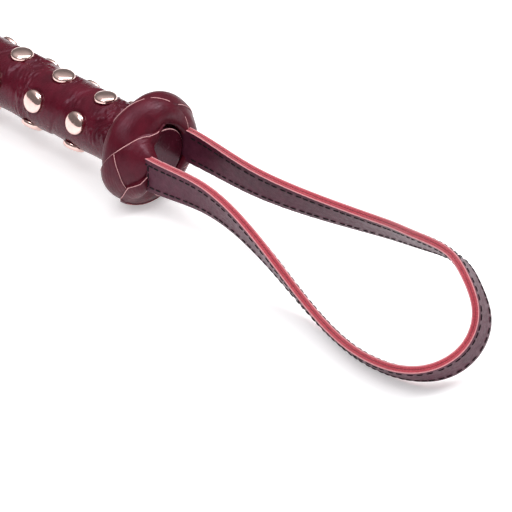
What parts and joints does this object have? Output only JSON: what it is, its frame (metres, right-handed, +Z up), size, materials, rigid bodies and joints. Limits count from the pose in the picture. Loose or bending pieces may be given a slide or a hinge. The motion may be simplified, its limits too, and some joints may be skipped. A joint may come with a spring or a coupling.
{
  "type": "riding crop",
  "caption": "Riding crop: studded leather handle, woven pommel knot with a stitched wrist loop, slim shaft and a flat flexing keeper at the tip.",
  "frame": {"origin": "centre of the outer face of the leather end disc in the mouth of the pommel knot, on the axis of the handle", "axes": "+X runs out of the pommel towards the wrist loop and the shaft runs along -X, +Z is up as the crop lies on a table, +Y is to the left when looking along +X"},
  "size_m": [0.811, 0.0582, 0.0497],
  "materials": {
    "handle_leather": "glossy wrinkled leather",
    "braid_leather": "glossy leather strip",
    "disc_leather": "polished leather",
    "strap_leather": "satin strap leather with raw edges",
    "shaft_leather": "glossy leather",
    "keeper_leather": "satin leather",
    "stud_metal": "polished, rose gold colour",
    "steel": "plain",
    "thread": "waxed thread",
    "rod": "glass fibre and resin",
    "core_wood": "turned"
  },
  "bodies": {
    "handle": {"shaft_core": "rod", "shaft_cover": "shaft_leather", "handle_core": "core_wood", "handle_wrap": "handle_leather", "stud_row_1": "stud_metal", "stud_row_2": "stud_metal", "stud_row_3": "stud_metal", "stud_row_4": "stud_metal", "stud_row_5": "stud_metal", "front_collar": "braid_leather", "front_ferrule": "stud_metal", "knot_core": "core_wood", "knot_braid": "braid_leather", "end_disc": "disc_leather", "strap_outer_ply_tails": "strap_leather", "strap_inner_ply_tails": "strap_leather", "strap_tacks": "steel", "tip_cap": "stud_metal", "keeper_sleeve": "keeper_leather", "keeper_whipping": "thread"},
    "loop_root": {"strap_outer_ply_root": "strap_leather", "strap_inner_ply_root": "strap_leather", "strap_stitching_root": "thread"},
    "loop": {"strap_outer_ply_neck": "strap_leather", "strap_inner_ply_neck": "strap_leather", "strap_stitching_neck": "thread", "strap_outer_ply_loop": "strap_leather", "strap_inner_ply_loop": "strap_leather", "strap_stitching_loop": "thread"},
    "keeper": {"keeper_neck": "keeper_leather", "keeper_top_ply": "keeper_leather", "keeper_bottom_ply": "keeper_leather", "keeper_stitching": "thread"}
  },
  "joints": [
    {"name": "loop_lift", "type": "hinge", "parent": "handle", "child": "loop_root", "pos_m": [0.0125, 0, 0], "axis": [0, -1, 0], "range_deg": [-35, 35], "deforming": ["strap_outer_ply_root", "strap_inner_ply_root", "strap_stitching_root"]},
    {"name": "loop_swing", "type": "hinge", "parent": "loop_root", "child": "loop", "pos_m": [0.039, 0, 0], "axis": [0, 0, 1], "range_deg": [-45, 45], "deforming": ["strap_outer_ply_neck", "strap_inner_ply_neck", "strap_stitching_neck"]},
    {"name": "keeper_flap", "type": "hinge", "parent": "handle", "child": "keeper", "pos_m": [-0.5755, 0, 0], "axis": [0, 1, 0], "range_deg": [-50, 50], "stiffness_Nm_per_rad": 0.02, "deforming": ["keeper_neck"]}
  ]
}
